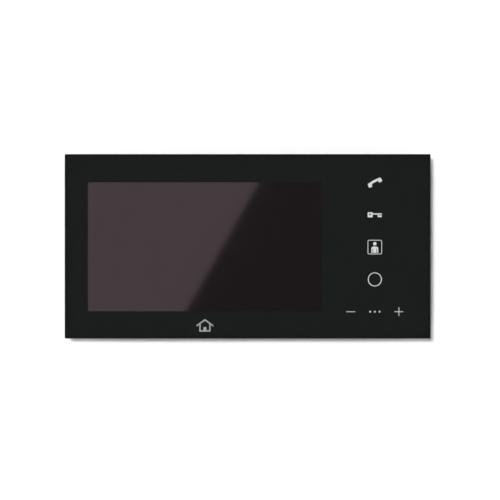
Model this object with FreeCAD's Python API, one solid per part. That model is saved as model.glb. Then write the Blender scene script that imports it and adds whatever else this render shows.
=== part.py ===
"""Wall-mounted video intercom monitor with a black glass front.

A sheet of toughened glass, printed black from behind, carries seven touch keys and a 7 inch screen window.
It is taped to a moulded front frame that holds the display module and the key board. A moulded rear cover
holds the main board, the speaker, the microphone and the wiring terminals. The monitor hangs on a steel wall
plate by four hooks.

Frame: +X to the right of a person facing the glass, +Z up, the glass faces -Y, the wall is the plane Y = 0.
The origin is the middle of the wall plate's back face. Lengths are in millimetres. Most shapes are placed by
their depth, which is the distance out from the wall, so a depth of 22 is the plane Y = -22.
"""

import FreeCAD
import Part
import math
import os

Vector = FreeCAD.Vector

# ------------------------------------------------------------------ driving dimensions
GLASS_W, GLASS_H, GLASS_T = 242.0, 122.0, 2.0
GLASS_CORNER, GLASS_CHAMFER = 0.8, 0.3
TOTAL_DEPTH = 22.0

SCREEN_X, SCREEN_Z = -28.3, -0.3  # middle of the display window
WINDOW_W, WINDOW_H = 155.2, 85.4

KEY_X, KEY_Z, KEY_PITCH = 84.2, -0.5, 21.4  # middle and row pitch of the touch keys
LOW_KEY_STEP = 15.95
THIN_STROKE, THIN_LENGTH = 0.44, 5.8  # of the plus and minus symbols
MARK_Z = -52.3

WALL = 2.0  # thickness of a moulded wall
LAP_GAP = 0.2  # round the rear cover, inside the front frame's skirt
COVER_W, COVER_H, COVER_CORNER = 234.0, 114.0, 6.0
FRAME_W, FRAME_H = COVER_W + 2 * (WALL + LAP_GAP), COVER_H + 2 * (WALL + LAP_GAP)
FRAME_CORNER = COVER_CORNER + WALL + LAP_GAP

PLATE_W, PLATE_H, PLATE_T = 150.0, 76.0, 1.5
PLATE_WINDOW_W, PLATE_WINDOW_H = 66.0, 46.0
HOOK_X, HOOK_TOP_Z, HOOK_LOW_Z = 52.0, 17.0, -21.0
LIFT = 7.0  # how far the monitor rises to come off its hooks
WALL_SCREW_X, WALL_SCREW_Z, WALL_SCREW_R = 66.0, 31.0, 2.2
BOX_SLOT_Z, BOX_SLOT_LENGTH, BOX_SLOT_R = 30.0, 8.0, 2.1

# ------------------------------------------------------------------ depths out from the wall
GLASS_BACK = TOTAL_DEPTH - GLASS_T
PRINT_BACK = GLASS_BACK - 0.1
FRAME_FRONT = PRINT_BACK - 0.6
FRAME_PLATE_BACK = FRAME_FRONT - 1.5
FRAME_BACK = 14.0
COVER_FRONT = FRAME_BACK + 1.6
COVER_BACK = 0.3
COVER_INNER = COVER_BACK + WALL
RECESS_DEPTH = 2.0  # the plate's recess
RECESS_INNER = RECESS_DEPTH + WALL
CHANNEL_DEPTH = 2.3  # the speaker's sound channel
CHANNEL_INNER = CHANNEL_DEPTH + WALL
BOARD = (9.0, 10.6)
KEY_BOARD = (12.5, 13.7)
STRAP = (12.9, 13.7)
BOSS_MEET = 14.9  # where a cover boss meets a frame boss
POLARISER = (18.9, 19.1)  # the display's layers, from the front backwards
CELL_FRONT = (18.25, 18.9)
CELL_REAR = (17.6, 18.25)
FILMS = (17.2, 17.6)
LIGHT_GUIDE = (14.7, 17.2)
REFLECTOR = (14.4, 14.7)

# ------------------------------------------------------------------ places
LCD_W, LCD_H = 164.6, 97.6
LCD_BACK = 13.8
SHROUD_X, SHROUD_Z = (61.3, 107.2), (-50.0, 50.0)
RECESS_X, RECESS_Z = (-77.0, 77.0), (-46.5, 39.5)
CHANNEL_X, CHANNEL_Z = (79.5, 105.5), (-60.0, -8.0)
BAY_X, BAY_Z = (-30.0, 30.0), (-22.0, 14.0)  # the wiring bay
BOARD_X, BOARD_Z = (-95.0, 55.0), (-40.0, 40.0)
CASE_SCREWS = [(x, z) for x in (-110.6, 0.0, 110.6) for z in (-52.3, 52.3)]
COVER_BOSS_R, FRAME_BOSS_R = 3.0, 2.6
BOARD_SCREWS = [(x, z) for x in (-89.0, 49.0) for z in (-35.0, 35.0)]
STRAP_SCREW_X, STRAP_Z = (-112.8, 57.2), (-38.0, 38.0)
STRAP_SCREWS = [(x, z) for x in STRAP_SCREW_X for z in STRAP_Z]
PADS = [(x, z) for x in (-60.0, 60.0) for z in (-50.6, 50.6)]
HOOKS = [(x, z) for x in (-HOOK_X, HOOK_X) for z in (HOOK_LOW_Z, HOOK_TOP_Z)]
KEYS = [(KEY_X, KEY_Z + row * KEY_PITCH) for row in (2, 1, 0, -1)]
LOW_KEYS = [(KEY_X + side * LOW_KEY_STEP, KEY_Z - 2 * KEY_PITCH) for side in (-1, 0, 1)]
SPEAKER_X, SPEAKER_Z, SPEAKER_R = 92.5, -27.0, 18.0
MIC_X, MIC_DEPTH = -98.0, 8.0
MIC_FLOOR = -COVER_H / 2 + WALL  # the bottom wall's inner face
POLES, POLE_PITCH = 6, 3.81
HEADER_X, HEADER_Z, HEADER_DEPTH = (-13.2, 13.2), (1.0, 11.0), (2.0, BOARD[0])
PLUG_X, PLUG_Z, PLUG_DEPTH = (-11.8, 11.8), (-9.0, 1.0), (2.0, 8.7)
CLAMP_SCREW_Z = -3.4
POLE_DEPTH, PIN = 5.5, 0.9  # the pins' middle and thickness
PIN_TAIL_Z = HEADER_Z[1] + PIN / 2
LABEL_X, LABEL_Z, LABEL_W, LABEL_H = -96.0, 6.0, 30.0, 52.0
FLEX_X, FLEX_W, FLEX_REACH = -28.0, 40.0, 17.0  # the display's flexible circuit, and how far up it ends
MIC_SOCKET, SPEAKER_SOCKET = (-70.0, -36.0), (36.0, -36.0)
SCREW_SEAT = 9.0  # depth of the case screws' seats
KEY_WELL_R, LOW_KEY_WELL_R = 6.6, 5.5
WELLS = [(x, z, KEY_WELL_R) for x, z in KEYS] + [(x, z, LOW_KEY_WELL_R) for x, z in LOW_KEYS]


# ------------------------------------------------------------------ helpers
def at(x, z, depth):
    """The point at x and z, that depth out from the wall."""
    return Vector(x, -depth, z)


def span(middle, size):
    """The range of that size about its middle."""
    return middle - size / 2, middle + size / 2


def grown(ends, extra):
    """A range longer by that much at each end."""
    return ends[0] - extra, ends[1] + extra


def row(middle, count, pitch):
    """Evenly spaced places about the middle."""
    return [middle + (i - (count - 1) / 2) * pitch for i in range(count)]


def block(x, z, depth):
    """A box between the two ends of each range."""
    corner = at(x[0], z[0], depth[1])
    return Part.makeBox(x[1] - x[0], depth[1] - depth[0], z[1] - z[0], corner)


def post(x, z, radius, depth):
    """A cylinder along Y."""
    return Part.makeCylinder(radius, depth[1] - depth[0], at(x, z, depth[1]), Vector(0, 1, 0))


def tube(x, z, outer, inner, depth):
    """A hollow cylinder along Y."""
    return post(x, z, outer, depth).cut(post(x, z, inner, depth))


def rounded(x, z, depth, radius):
    """A box whose four edges along Y are round."""
    shape = block(x, z, depth)
    corners = [e for e in shape.Edges if abs(e.tangentAt(e.FirstParameter).y) > 0.9]
    return shape.makeFillet(radius, corners)


def slot(x, z, radius, length, depth):
    """A round-ended slot's space, along Z."""
    reach = length / 2 - radius
    middle = block(span(x, 2 * radius), span(z, 2 * reach), depth)
    return join([middle, post(x, z - reach, radius, depth), post(x, z + reach, radius, depth)])


def prism(points, depth):
    """A straight-sided outline of (x, z) points, made solid between two depths."""
    corners = [at(x, z, depth[1]) for x, z in points]
    face = Part.Face(Part.makePolygon(corners + corners[:1]))
    return face.extrude(Vector(0, depth[1] - depth[0], 0))


def turned(x, z, profile):
    """A solid of revolution about a Y axis, from (radius, depth) points."""
    corners = [at(x + radius, z, depth) for radius, depth in profile]
    face = Part.Face(Part.makePolygon(corners + corners[:1]))
    return face.revolve(at(x, z, 0), Vector(0, 1, 0), 360)


def join(shapes):
    """One shape from several that touch."""
    first, *rest = shapes
    return first.multiFuse(rest).removeSplitter() if rest else first


def group(shapes):
    """Separate solids in one node."""
    return Part.makeCompound(shapes)


def route(points):
    """Straight runs between the points, joined by tangent arcs as large as the runs allow."""
    edges, here = [], points[0]
    for before, corner, after in zip(points, points[1:], points[2:]):
        arriving = (corner - before) * (1 / (corner - before).Length)
        leaving = (after - corner) * (1 / (after - corner).Length)
        reach = 0.45 * min((corner - before).Length, (after - corner).Length)
        half_turn = arriving.getAngle(leaving) / 2
        radius = reach / math.tan(half_turn)
        inward = leaving - arriving
        inward = inward * (1 / inward.Length)
        start, end = corner - arriving * reach, corner + leaving * reach
        middle = corner + inward * (radius / math.cos(half_turn) - radius)
        edges += [Part.LineSegment(here, start).toShape(), Part.Arc(start, middle, end).toShape()]
        here = end
    edges.append(Part.LineSegment(here, points[-1]).toShape())
    return Part.Wire(edges)


def round_lead(points, diameter):
    """A round lead along a route."""
    path = route(points)
    radii = [round(e.Curve.Radius, 1) for e in path.Edges if isinstance(e.Curve, Part.Circle)]
    print("lead of diameter", diameter, "bends at radii", radii, "over a length of", round(path.Length, 1))
    circle = Part.makeCircle(diameter / 2, points[0], points[1] - points[0])
    return path.makePipeShell([Part.Wire(circle)], True, True)


def ribbon(points, across, width, thickness):
    """A flat cable along a route, its width along the across vector."""
    path = route(points)
    forward = (points[1] - points[0]) * (1 / (points[1] - points[0]).Length)
    side = across * (width / 2)
    up = across.cross(forward) * (thickness / 2)
    corners = [points[0] + side * i + up * j for i, j in ((1, 1), (-1, 1), (-1, -1), (1, -1))]
    return path.makePipeShell([Part.makePolygon(corners + corners[:1])], True, True)


def screw(x, z, seat, head_radius, head_height, shank_radius, length, inward):
    """A cross-recessed screw. Its shank points away from the wall if inward is 1, and towards it if -1."""

    def reach(near, far):
        return tuple(sorted((seat + near * inward, seat + far * inward)))

    head = post(x, z, head_radius, reach(-head_height, 0))
    rims = [e for e in head.Edges if e.Closed]
    outer = min(rims, key=lambda e: inward * -e.CenterOfMass.y)
    head = head.makeFillet(head_height * 0.35, [outer])
    shank = post(x, z, shank_radius, reach(0, length))
    body = join([head, shank])
    recess = reach(-head_height, -head_height * 0.4)
    arm, web = head_radius * 1.1, head_radius * 0.26
    cross = join([block(span(x, arm), span(z, web), recess), block(span(x, web), span(z, arm), recess)])
    return body.cut(cross)


# ------------------------------------------------------------------ glass front and its symbols
def front_glass():
    """Toughened sheet with a small bright chamfer along every edge of both faces."""
    sheet = rounded(span(0, GLASS_W), span(0, GLASS_H), (GLASS_BACK, TOTAL_DEPTH), GLASS_CORNER)
    rims = [e for e in sheet.Edges if abs(e.tangentAt(e.FirstParameter).y) < 0.1]
    return sheet.makeChamfer(GLASS_CHAMFER, rims)


def handset_symbol(depth):
    """A gently arched handle with a squarish cup at each end, tilted."""
    tilt, crown, grip = 28.4, 1.65, 0.05  # the handle's highest point, and its underside
    cup_top, cup_lip, cup_foot = 1.25, -1.15, -1.55
    half = [(4.7, cup_top), (5.0, cup_lip), (4.4, cup_foot), (2.6, cup_foot), (2.4, grip)]
    symbol = prism([(0, crown)] + half + [(-x, z) for x, z in reversed(half)], depth)
    symbol.rotate(Vector(0, 0, 0), Vector(0, 1, 0), -tilt)
    return symbol


def key_symbol(depth):
    """A door key: square bow with an eye, a stem, and a bit with a slit in it."""
    tip, stem_low = 4.6, 0.15
    bow = rounded((-4.7, -1.45), (-1.7, 1.65), depth, 0.4).cut(post(-3.25, 0.2, 0.6, depth))
    stem = block((-1.5, tip), (stem_low, 0.9), depth)
    bit = block((1.9, tip), (-1.55, 0.2), depth)
    slit = block((2.35, tip), (-0.4, stem_low), depth)
    return join([bow, stem, bit]).cut(slit)


def visitor_symbol(depth):
    """A plain figure in a square frame."""
    half, stroke, corner = 4.75, 0.4, 1.0
    inner = half - stroke
    frame = rounded((-half, half), (-half, half), depth, corner)
    frame = frame.cut(rounded((-inner, inner), (-inner, inner), depth, corner - stroke))
    chest, shoulder, top, foot = 2.3, 1.4, 0.35, -3.8
    figure = rounded((-chest, chest), (foot - shoulder, top), depth, shoulder)
    figure = figure.common(block((-chest, chest), (foot, top), depth))
    for side in (-1, 1):
        figure = figure.cut(block(span(side * 1.3, 0.45), (foot, -1.1), depth))
    head = post(0, 2.2, 1.15, depth)
    return group([frame, head, *figure.Solids])


def ring_symbol(depth):
    return tube(0, 0, 4.62, 4.1, depth)


def minus_symbol(depth):
    return block(span(0, THIN_LENGTH), span(0, THIN_STROKE), depth)


def dots_symbol(depth):
    return group([post(x, 0, 0.58, depth) for x in row(0, 3, 3.1)])


def plus_symbol(depth):
    return join([minus_symbol(depth), block(span(0, THIN_STROKE), span(0, THIN_LENGTH), depth)])


def house_symbol(depth):
    """A plain house: a roof line over walls with a door."""
    stroke, ridge, foot, wall = 0.85, 4.15, -4.15, 3.7
    eaves_x, eaves_z = 5.5, 0.2
    thickness = stroke * 1.25  # of the roof line, measured upright
    upper = [(-eaves_x, eaves_z), (0, ridge), (eaves_x, eaves_z)]
    roof = prism(upper + [(x, z - thickness) for x, z in reversed(upper)], depth)
    top = eaves_z + (ridge - eaves_z) * (1 - wall / eaves_x) - 0.3
    sides = [block(span(side * (wall - stroke / 2), stroke), (foot, top), depth) for side in (-1, 1)]
    base = block((-wall, wall), (foot, foot + stroke), depth)
    door = block((-0.95, 0.95), (foot, foot + 3.0), depth)
    return join([roof, *sides, base, door])


def placed_symbols(depth):
    """The seven key symbols at their places."""
    makers = [handset_symbol, key_symbol, visitor_symbol, ring_symbol, minus_symbol, dots_symbol, plus_symbol]
    shapes = []
    for maker, (x, z) in zip(makers, KEYS + LOW_KEYS):
        symbol = maker(depth)
        symbol.translate(Vector(x, 0, z))
        shapes += symbol.Solids
    return shapes


def placed_mark(depth):
    """The plain house under the screen."""
    mark = house_symbol(depth)
    mark.translate(Vector(SCREEN_X, 0, MARK_Z))
    return mark


def glass_print():
    """Black ink on the back of the glass, left open at the window and at each symbol."""
    inset = 2 * GLASS_CHAMFER
    ink = rounded(span(0, GLASS_W - inset), span(0, GLASS_H - inset), (PRINT_BACK, GLASS_BACK), 0.5)
    through = (PRINT_BACK - 1, GLASS_BACK + 1)
    window = rounded(span(SCREEN_X, WINDOW_W), span(SCREEN_Z, WINDOW_H), through, 0.4)
    return ink.cut([window, placed_mark(through), *placed_symbols(through)])


def key_symbols():
    """Translucent white ink that fills the openings over the keys."""
    return group(placed_symbols((PRINT_BACK, GLASS_BACK)))


def front_mark():
    return placed_mark((PRINT_BACK, GLASS_BACK))


def glass_tape():
    """Foam tape round the frame, with a bar between the display and the keys."""
    depth = (FRAME_FRONT, PRINT_BACK)
    x, z, width = span(0, 235), span(0, 115), 4.0
    ring = rounded(x, z, depth, 3.0).cut(rounded(grown(x, -width), grown(z, -width), depth, 1.5))
    return join([ring, block(span(58.0, width), (-54.0, 54.0), depth)])


# ------------------------------------------------------------------ display module
def lcd_ring(outer_inset, wall, depth):
    """A rectangular ring inside the module's outline."""
    x, z = span(SCREEN_X, LCD_W - 2 * outer_inset), span(SCREEN_Z, LCD_H - 2 * outer_inset)
    return block(x, z, depth).cut(block(grown(x, -wall), grown(z, -wall), depth))


def lcd_sheet(width, height, depth):
    return block(span(SCREEN_X, width), span(SCREEN_Z, height), depth)


def flex_gate():
    """The gap in the module's lower side that its flexible circuit leaves through."""
    edge = SCREEN_Z - LCD_H / 2
    return block(span(FLEX_X, FLEX_W + 2), (edge - 1, edge + 4), (14.9, 18.6))


def lcd_bezel():
    """Folded steel frame over the front and sides of the module."""
    face = lcd_sheet(LCD_W, LCD_H, (FRAME_FRONT - 0.2, FRAME_FRONT)).cut(
        lcd_sheet(157.2, 88.4, (FRAME_FRONT - 0.2, FRAME_FRONT))
    )
    sides = lcd_ring(0, 0.25, (15.5, FRAME_FRONT - 0.2))
    return join([face, sides]).cut(flex_gate())


def lcd_polariser():
    return lcd_sheet(157.0, 88.2, POLARISER)


def lcd_cell():
    """The two bonded glass sheets, the lower one longer where the driver chip sits."""
    width, height, ledge = 159.0, 90.0, 2.2
    front = lcd_sheet(width, height, CELL_FRONT)
    rear_z = (SCREEN_Z - height / 2 - ledge, SCREEN_Z + height / 2)
    rear = block(span(SCREEN_X, width), rear_z, CELL_REAR)
    driver_z = (rear_z[0] + 0.3, rear_z[0] + 1.6)
    driver = block(span(FLEX_X, 18.0), driver_z, (CELL_REAR[1], CELL_REAR[1] + 0.4))
    return join([front, rear, driver])


def lcd_films():
    return lcd_sheet(159.4, 92.4, FILMS)


def lcd_light_guide():
    return lcd_sheet(159.4, 90.4, LIGHT_GUIDE)


def lcd_reflector():
    return lcd_sheet(159.4, 92.4, REFLECTOR)


def lcd_led_bar():
    """Strip of white LEDs along the light guide's lower edge."""
    strip_z = (SCREEN_Z - 46.15, SCREEN_Z - 45.9)
    led_z = (strip_z[1], strip_z[1] + 0.55)
    strip = block(span(SCREEN_X, 156.0), strip_z, grown(LIGHT_GUIDE, -0.1))
    leds = [block(span(x, 3.0), led_z, (15.4, 16.6)) for x in row(SCREEN_X, 27, 5.8)]
    return join([strip, *leds])


def lcd_mould_frame():
    """White moulding that locates the light guide, the films and the cell."""
    return lcd_ring(0.9, 1.5, (REFLECTOR[0], FILMS[1])).cut(flex_gate())


def lcd_back_pan():
    """Shallow steel tray behind the display module."""
    depth = (LCD_BACK, LCD_BACK + 0.4)
    floor = lcd_sheet(LCD_W - 0.6, LCD_H - 0.6, depth)
    walls = lcd_ring(0.3, 0.4, (LCD_BACK + 0.4, 18.0))
    bead = lcd_sheet(120.0, 3.0, (LCD_BACK, LCD_BACK + 0.2))
    beads = [bead.translated(Vector(0, 0, z)) for z in (-14.0, 14.0)]
    return join([floor, walls]).cut([flex_gate(), *beads])


def lcd_flex():
    """Flexible circuit from the cell, round the module's lower edge, to the main board."""
    edge = SCREEN_Z - LCD_H / 2
    front, behind, board_side = sum(CELL_REAR) / 2 - 0.005, 12.5, 11.5
    points = [
        at(FLEX_X, edge + 1.5, front),
        at(FLEX_X, edge - 1.0, front),
        at(FLEX_X, edge - 1.0, behind),
        at(FLEX_X, edge + 9.6, behind),
        at(FLEX_X, edge + 14.0, board_side),
        at(FLEX_X, edge + FLEX_REACH, board_side),
    ]
    return ribbon(points, Vector(1, 0, 0), FLEX_W, 0.25)


def lcd_gasket():
    """Foam that seals the gap between the display and the glass."""
    depth = (FRAME_FRONT, PRINT_BACK)
    return lcd_sheet(162.6, 95.4, depth).cut(lcd_sheet(157.4, 88.6, depth))


def lcd_straps():
    """Two steel bars across the back of the module."""
    ends = (STRAP_SCREW_X[0] - 1.9, STRAP_SCREW_X[1] + 2.6)
    bars = []
    for z in STRAP_Z:
        holes = [post(x, z, 1.1, STRAP) for x in STRAP_SCREW_X]
        bars.append(block(ends, span(z, 7.0), STRAP).cut(holes))
    return group(bars)


def strap_screws():
    head_radius, head_height, shank_radius, length = 1.8, 1.2, 1.0, 4.4
    sizes = (head_radius, head_height, shank_radius, length)
    return group([screw(x, z, STRAP[0], *sizes, inward=1) for x, z in STRAP_SCREWS])


# ------------------------------------------------------------------ front frame and touch keys
def front_frame():
    """Moulded frame under the glass, with a skirt that laps over the rear cover."""
    depth = (FRAME_BACK, FRAME_FRONT)
    x, z = span(0, FRAME_W), span(0, FRAME_H)
    outside = rounded(x, z, depth, FRAME_CORNER)
    hollow_depth = (FRAME_BACK, FRAME_PLATE_BACK)
    hollow = rounded(grown(x, -WALL), grown(z, -WALL), hollow_depth, FRAME_CORNER - WALL)
    display = block(span(SCREEN_X, LCD_W + 1.0), span(SCREEN_Z, LCD_H + 1.0), depth)
    flex_notch = block(span(FLEX_X, FLEX_W + 3), (-52.0, -48.0), depth)
    keys = block(grown(SHROUD_X, 0.2), grown(SHROUD_Z, 0.2), depth)
    shell = outside.cut([hollow, display, flex_notch, keys])
    bosses = [post(x, z, FRAME_BOSS_R, (BOSS_MEET, FRAME_PLATE_BACK)) for x, z in CASE_SCREWS]
    posts = [post(x, z, 2.0, (STRAP[1], FRAME_PLATE_BACK)) for x, z in STRAP_SCREWS]
    pilots = [post(x, z, 1.32, (BOSS_MEET, FRAME_PLATE_BACK)) for x, z in CASE_SCREWS]
    pilots += [post(x, z, 1.02, (STRAP[1], FRAME_PLATE_BACK)) for x, z in STRAP_SCREWS]
    return join([shell, *bosses, *posts]).cut(pilots)


def key_shroud():
    """White moulding with a light well round each touch key."""
    depth = (KEY_BOARD[1], FRAME_FRONT)
    wall = 1.0
    box = block(SHROUD_X, SHROUD_Z, depth)
    shell = box.cut(block(grown(SHROUD_X, -wall), grown(SHROUD_Z, -wall), (depth[0], FRAME_FRONT - wall)))
    tubes = [post(x, z, radius + wall, depth) for x, z, radius in WELLS]
    holes = [post(x, z, radius, depth) for x, z, radius in WELLS]
    return join([shell, *tubes]).common(box).cut(holes)


def key_board():
    return block(grown(SHROUD_X, 0.8), SHROUD_Z, KEY_BOARD)


def coil(radius, wire, height, turns):
    """A coil spring about Z, swept along arcs, four to a turn, with an eight-sided wire."""
    steps, sides = 8, 8

    def on_helix(step):
        turn = 2 * math.pi * step / steps
        return Vector(radius * math.cos(turn), radius * math.sin(turn), height * step / (steps * turns))

    arcs = [Part.Arc(*(on_helix(2 * i + j) for j in range(3))).toShape() for i in range(steps * turns // 2)]
    angles = [2 * math.pi * side / sides for side in range(sides)]
    corners = [Vector(radius + wire * math.cos(angle), 0, wire * math.sin(angle)) for angle in angles]
    return Part.Wire(arcs).makePipeShell([Part.makePolygon(corners + corners[:1])], True, True)


def touch_springs():
    """Sprung contacts that carry each touch key's charge from the board to the glass."""
    wire, turns, end_gap = 0.25, 4, 0.1
    first, last = KEY_BOARD[1] + wire + end_gap, PRINT_BACK - wire - end_gap
    springs = []
    for x, z, radius in WELLS:
        spring = coil(radius - 2.1, wire, last - first, turns)
        spring.rotate(Vector(0, 0, 0), Vector(1, 0, 0), 90)
        spring.translate(at(x, z, first))
        springs.append(spring)
    return group(springs)


def key_leds():
    """A white LED in the middle of each touch spring."""
    leds = []
    for x, z, _ in WELLS:
        body = block(span(x, 2.8), span(z, 3.5), (KEY_BOARD[1], KEY_BOARD[1] + 1.1))
        lens = post(x, z, 1.1, (KEY_BOARD[1] + 1.1, KEY_BOARD[1] + 1.6))
        leds.append(join([body, lens]))
    return group(leds)


def key_board_chips():
    """Touch controller, driver and passives on the back of the key board."""
    back = KEY_BOARD[0]
    chips = [
        block(span(84.0, 7.0), span(28.0, 7.0), (back - 1.0, back)),
        block(span(74.0, 5.0), span(12.0, 6.2), (back - 1.4, back)),
    ]
    chips += [block(span(92.0, 1.6), span(z, 0.8), (back - 0.6, back)) for z in range(16, 44, 4)]
    chips.append(block((63.0, 68.0), (18.0, 32.0), (back - 2.0, back)))
    return group(chips)


def key_cable():
    """Flat cable from the key board to the main board."""
    z = 25.0
    points = [at(62.9, z, 11.5), at(60.4, z, 11.5), at(57.2, z, 11.9), at(54.6, z, 11.9)]
    return ribbon(points, Vector(0, 0, 1), 10.0, 0.3)


# ------------------------------------------------------------------ main board
def main_board():
    board = rounded(BOARD_X, BOARD_Z, BOARD, 2.0)
    tails = [block(span(x, 1.1), span(PIN_TAIL_Z, 1.1), BOARD) for x in pole_places()]
    return board.cut([post(x, z, 1.6, BOARD) for x, z in BOARD_SCREWS] + tails)


def board_chips():
    """Processor, memory and power chips on the front of the board, passives round them."""
    front = BOARD[1]

    def chip(x, z, width, height, thickness):
        return block(span(x, width), span(z, height), (front, front + thickness))

    processor = chip(-20, 14, 14, 14, 1.3)
    memories = [chip(-42, z, 11, 8, 1.0) for z in (6, 18)]
    video = [chip(4, 26, 8, 8, 0.9), chip(18, -6, 7, 7, 0.9)]
    power = [chip(-60, -14, 6, 5, 1.4), chip(-70, 24, 5, 5, 0.9), chip(34, 24, 10, 4, 1.5)]
    passives = [chip(x, -2, 1.0, 0.5, 0.5) for x in row(-11, 7, 3)]
    passives += [chip(x, 30, 1.0, 0.5, 0.5) for x in row(-30, 9, 3)]
    return group([processor, *memories, *video, *power, *passives])


def board_shield():
    """Tinned can over the radio and video decoder."""
    depth = (BOARD[1], BOARD[1] + 2.0)
    x, z, sheet = (22.0, 46.0), (-30.0, -12.0), 0.3
    can = rounded(x, z, depth, 0.8)
    inside = rounded(grown(x, -sheet), grown(z, -sheet), (depth[0], depth[1] - sheet), 0.5)
    holes = [post(hole_x, hole_z, 0.7, depth) for hole_x in row(34, 5, 4) for hole_z in row(-21, 3, 5)]
    return can.cut([inside, *holes])


def board_capacitors():
    """Low electrolytic capacitors on the back of the board."""
    places = [(x, 30) for x in row(-60, 3, 10)] + [(38, z) for z in (0, 9)]
    base_top = BOARD[0] - 0.6
    caps = []
    for x, z in places:
        can = post(x, z, 3.15, (base_top - 3.7, base_top))
        base = block(span(x, 6.8), span(z, 6.8), (base_top, BOARD[0]))
        caps.append(join([can, base]))
    return group(caps)


def board_inductors():
    """Power and line chokes on the back of the board."""
    places = [(-66, 4), (-66, -10), (-78, -3)]
    top = BOARD[0] - 3.4
    chokes = []
    for x, z in places:
        core = rounded(span(x, 7.4), span(z, 7.4), (top, BOARD[0]), 1.5)
        groove = tube(x, z, 2.9, 2.4, (top, top + 0.3))
        chokes.append(core.cut(groove))
    return group(chokes)


def board_connectors():
    """Sockets for the display flex, the key cable, the microphone and the speaker."""
    front, back = BOARD[1], BOARD[0]
    flex_end = SCREEN_Z - LCD_H / 2 + FLEX_REACH
    shapes = [
        block(span(FLEX_X, FLEX_W + 4), (flex_end, flex_end + 4.5), (front, front + 1.6)),
        block((50.0, 54.6), (18.0, 32.0), (front, front + 1.9)),
    ]
    for x, z in (MIC_SOCKET, SPEAKER_SOCKET):
        shell = block(span(x, 7.9), span(z, 5.8), (back - 4.2, back))
        cavity = block(span(x, 6.3), (z - 2.9, z + 1.9), (back - 3.6, back - 0.8))
        shapes.append(shell.cut(cavity))
    return group(shapes)


def board_screws():
    head_radius, head_height, shank_radius, length = 2.7, 1.8, 1.25, 6.0
    sizes = (head_radius, head_height, shank_radius, length)
    return group([screw(x, z, BOARD[1], *sizes, inward=-1) for x, z in BOARD_SCREWS])


# ------------------------------------------------------------------ wiring terminals
def pole_places():
    return row(0, POLES, POLE_PITCH)


def terminal_header():
    """Open-ended shroud on the main board that takes the wiring plug from below."""
    shell = block(HEADER_X, HEADER_Z, HEADER_DEPTH)
    cavity = block(span(0, 24.2), (HEADER_Z[0], HEADER_Z[1] - 1.6), (3.0, 8.0))
    keys = [block(span(x, 1.0), (HEADER_Z[0], 7.0), (2.0, 3.0)) for x in pole_places()]
    pins = [block(span(x, PIN), HEADER_Z, span(POLE_DEPTH, PIN)) for x in pole_places()]
    return shell.cut([cavity, *keys, *pins])


def header_pins():
    """Square pins, bent down into the board behind the shroud."""
    pins = []
    for x in pole_places():
        blade = block(span(x, PIN), (3.2, HEADER_Z[1] + PIN), span(POLE_DEPTH, PIN))
        tail = block(span(x, PIN), span(PIN_TAIL_Z, PIN), (POLE_DEPTH - PIN / 2, BOARD[1] + 0.6))
        pins.append(join([blade, tail]))
    return group(pins)


def terminal_plug():
    """Block with a nose that enters the header, and a wire entry and a screw hole to each pole."""
    nose_top = 8.4
    nose = block(PLUG_X, (PLUG_Z[1], nose_top), (3.2, 7.8))
    body = block(PLUG_X, PLUG_Z, PLUG_DEPTH)
    rear_edge = [e for e in body.Edges if (e.CenterOfMass - at(0, PLUG_Z[0], PLUG_DEPTH[0])).Length < 0.01]
    body = body.makeChamfer(1.2, rear_edge)
    cuts = []
    for x in pole_places():
        pin_way = block(span(x, PIN + 0.4), (0.0, nose_top), span(POLE_DEPTH, PIN + 0.4))
        clamp_chamber = block(span(x, 2.9), (-7.6, 0.4), (4.2, 7.6))
        wire_entry = block(span(x, 2.3), (PLUG_Z[0], -7.0), (4.7, 7.3))
        screw_way = post(x, CLAMP_SCREW_Z, 1.45, (PLUG_DEPTH[0] - 1, 4.4))
        cuts += [pin_way, clamp_chamber, wire_entry, screw_way]
    return join([body, nose]).cut(cuts)


def terminal_clamps():
    """Nickel-plated cages that grip the wires."""
    clamps = []
    for x in pole_places():
        height = span(CLAMP_SCREW_Z, 4.4)
        cage = block(span(x, 2.7), height, (4.4, 7.4))
        hole = block(span(x, 1.9), height, (5.1, 7.0))
        thread = post(x, CLAMP_SCREW_Z, 0.82, (4.4, 5.1))
        clamps.append(cage.cut([hole, thread]))
    return group(clamps)


def terminal_screws():
    """Slotted clamp screws, reached from behind."""
    screws = []
    for x in pole_places():
        head = post(x, CLAMP_SCREW_Z, 1.35, (2.7, 3.9))
        shank = post(x, CLAMP_SCREW_Z, 0.8, (3.9, 5.6))
        drive = block(span(x, 3.0), span(CLAMP_SCREW_Z, 0.45), (2.7, 3.3))
        screws.append(join([head, shank]).cut(drive))
    return group(screws)


# ------------------------------------------------------------------ speaker and microphone
def speaker_gasket():
    return tube(SPEAKER_X, SPEAKER_Z, SPEAKER_R, 16.3, (CHANNEL_INNER, 5.8))


def speaker_basket():
    """Pressed frame from the rim to the magnet, open between its four legs."""
    rim = [(15.8, 6.0), (SPEAKER_R, 6.0), (SPEAKER_R, 6.8), (17.0, 6.8)]
    collar = [(10.8, 10.8), (9.5, 10.8), (9.5, 9.9), (15.8, 6.9)]
    frame = turned(SPEAKER_X, SPEAKER_Z, rim + collar)
    windows = []
    for turn in range(4):
        window = block((-4.5, 4.5), (10.2, 15.4), (6.9, 11.0))
        window.rotate(Vector(0, 0, 0), Vector(0, 1, 0), 90 * turn)
        window.translate(Vector(SPEAKER_X, 0, SPEAKER_Z))
        windows.append(window)
    tags = block(span(SPEAKER_X - 12.5, 5.0), span(SPEAKER_Z + 12.5, 5.0), (6.8, 7.4))
    return join([frame.cut(windows), tags.common(post(SPEAKER_X, SPEAKER_Z, SPEAKER_R, (6.8, 7.4)))])


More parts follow.
